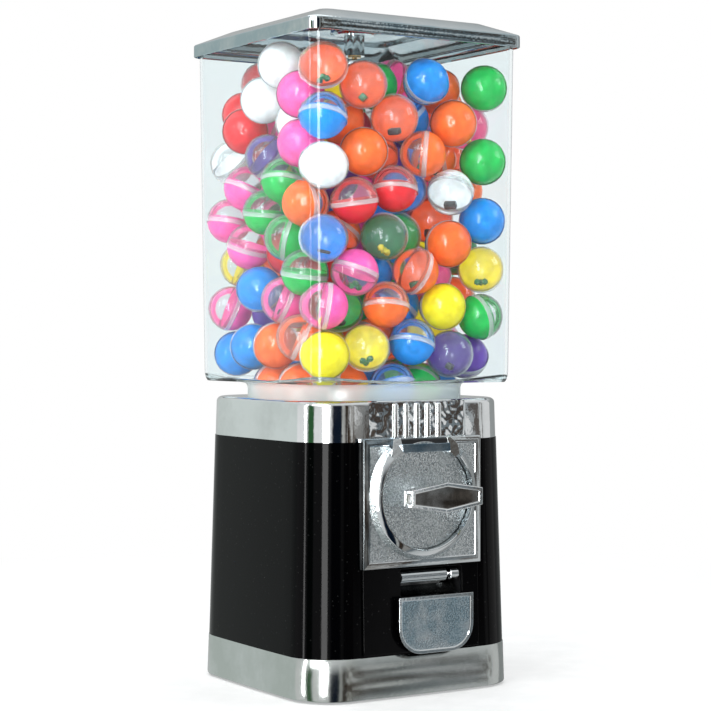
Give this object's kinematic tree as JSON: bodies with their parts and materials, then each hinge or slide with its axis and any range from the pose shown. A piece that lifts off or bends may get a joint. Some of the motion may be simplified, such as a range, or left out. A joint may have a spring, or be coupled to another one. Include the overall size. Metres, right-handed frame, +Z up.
{
  "type": "toy capsule vending machine",
  "caption": "Countertop capsule vending machine: black tapered body, bright trim, coin mechanism with a turning handle, chute flap, cash drawer and a clear square globe full of toy capsules.",
  "frame": {"origin": "underside of the base plate, on the machine's vertical axis", "axes": "+Z up, front with the handle and flap faces -Y, +X to the right seen from the front"},
  "size_m": [0.24, 0.2855, 0.6413],
  "materials": {
    "chrome_trim": "polished, mirror bright",
    "satin_base": "satin plated",
    "hammered_zinc": "plated die casting, hammered field with polished edges",
    "polished_steel": "bright zinc plate",
    "brass": "turned",
    "black_body": "gloss black powder coat",
    "black_surround": "gloss black moulding",
    "black_plastic": "moulded",
    "white_plastic": "moulded acetal",
    "rubber": "matte",
    "clear_globe": "clear polycarbonate",
    "capsule_orange": "glossy",
    "capsule_blue": "glossy",
    "capsule_pink": "glossy",
    "capsules_mixed": "glossy coloured halves and clear halves"
  },
  "bodies": {
    "cabinet": {"base_skirt": "satin_base", "base_plate": "polished_steel", "foot_1": "rubber", "foot_2": "rubber", "foot_3": "rubber", "foot_4": "rubber", "body_shell": "black_body", "top_trim": "chrome_trim", "wheel_housing": "black_plastic", "outlet_cover": "polished_steel", "tie_rod": "polished_steel", "housing_washer": "polished_steel", "housing_nut": "polished_steel", "axle_sleeve": "brass", "cover_nut": "polished_steel", "lock_keeper": "polished_steel", "keeper_nut": "polished_steel", "globe": "clear_globe", "globe_gasket": "rubber", "coin_faceplate": "hammered_zinc", "mech_bracket": "polished_steel", "spindle_bush": "brass", "mech_screw_1": "polished_steel", "mech_screw_2": "polished_steel", "mech_screw_3": "polished_steel", "mech_screw_4": "polished_steel", "dog_pin": "polished_steel", "dog_spring": "polished_steel", "capsule_chute": "black_plastic", "coin_chute": "black_plastic", "chute_surround": "black_surround", "hinge_pin": "polished_steel", "hinge_spacer": "chrome_trim", "capsule_pile": "capsules_mixed"},
    "wheel": {"dispensing_wheel": "white_plastic", "crown_gear": "white_plastic", "pocket_capsule_1": "capsule_orange", "pocket_capsule_2": "capsule_blue", "pocket_capsule_3": "capsule_pink"},
    "lid": {"lid": "chrome_trim", "lid_lock_barrel": "chrome_trim"},
    "lid_lock": {"lid_lock_plug": "brass"},
    "handle": {"coin_disc": "hammered_zinc", "handle_lever": "chrome_trim", "spindle": "polished_steel", "pinion": "white_plastic", "ratchet": "polished_steel"},
    "dog": {"coin_dog": "polished_steel"},
    "door": {"chute_door": "hammered_zinc"},
    "drawer": {"cash_drawer": "black_body", "cash_lock_barrel": "chrome_trim"},
    "drawer_lock": {"cash_lock_plug": "brass"}
  },
  "joints": [
    {"name": "handle_turn", "type": "hinge", "parent": "cabinet", "child": "handle", "pos_m": [0, -0.122, 0.1872], "axis": [0, 1, 0], "continuous": true},
    {"name": "wheel_turn", "type": "hinge", "parent": "cabinet", "child": "wheel", "pos_m": [0, 0, 0.24], "axis": [0, 0, 1], "continuous": true},
    {"name": "dog_lift", "type": "hinge", "parent": "cabinet", "child": "dog", "pos_m": [-0.0265, -0.114, 0.221], "axis": [0, 1, 0], "range_deg": [0, 15], "stiffness_Nm_per_rad": 0.002, "springref_deg": -28.65},
    {"name": "door_swing", "type": "hinge", "parent": "cabinet", "child": "door", "pos_m": [0.011, -0.112, 0.1102], "axis": [-1, 0, 0], "range_deg": [0, 60]},
    {"name": "lid_lift", "type": "slide", "parent": "cabinet", "child": "lid", "axis": [0, 0, 1], "range_m": [0, 0.08]},
    {"name": "lid_lock_turn", "type": "hinge", "parent": "lid", "child": "lid_lock", "pos_m": [0, 0, 0.63], "axis": [0, 0, 1], "range_deg": [0, 90]},
    {"name": "drawer_slide", "type": "slide", "parent": "cabinet", "child": "drawer", "axis": [0, 1, 0], "range_m": [0, 0.085]},
    {"name": "drawer_lock_turn", "type": "hinge", "parent": "drawer", "child": "drawer_lock", "pos_m": [0, 0.12, 0.0742], "axis": [0, -1, 0], "range_deg": [0, 90]}
  ],
  "couplings": [
    {"joint": "wheel_turn", "follows": "handle_turn", "ratio": 0.25}
  ]
}
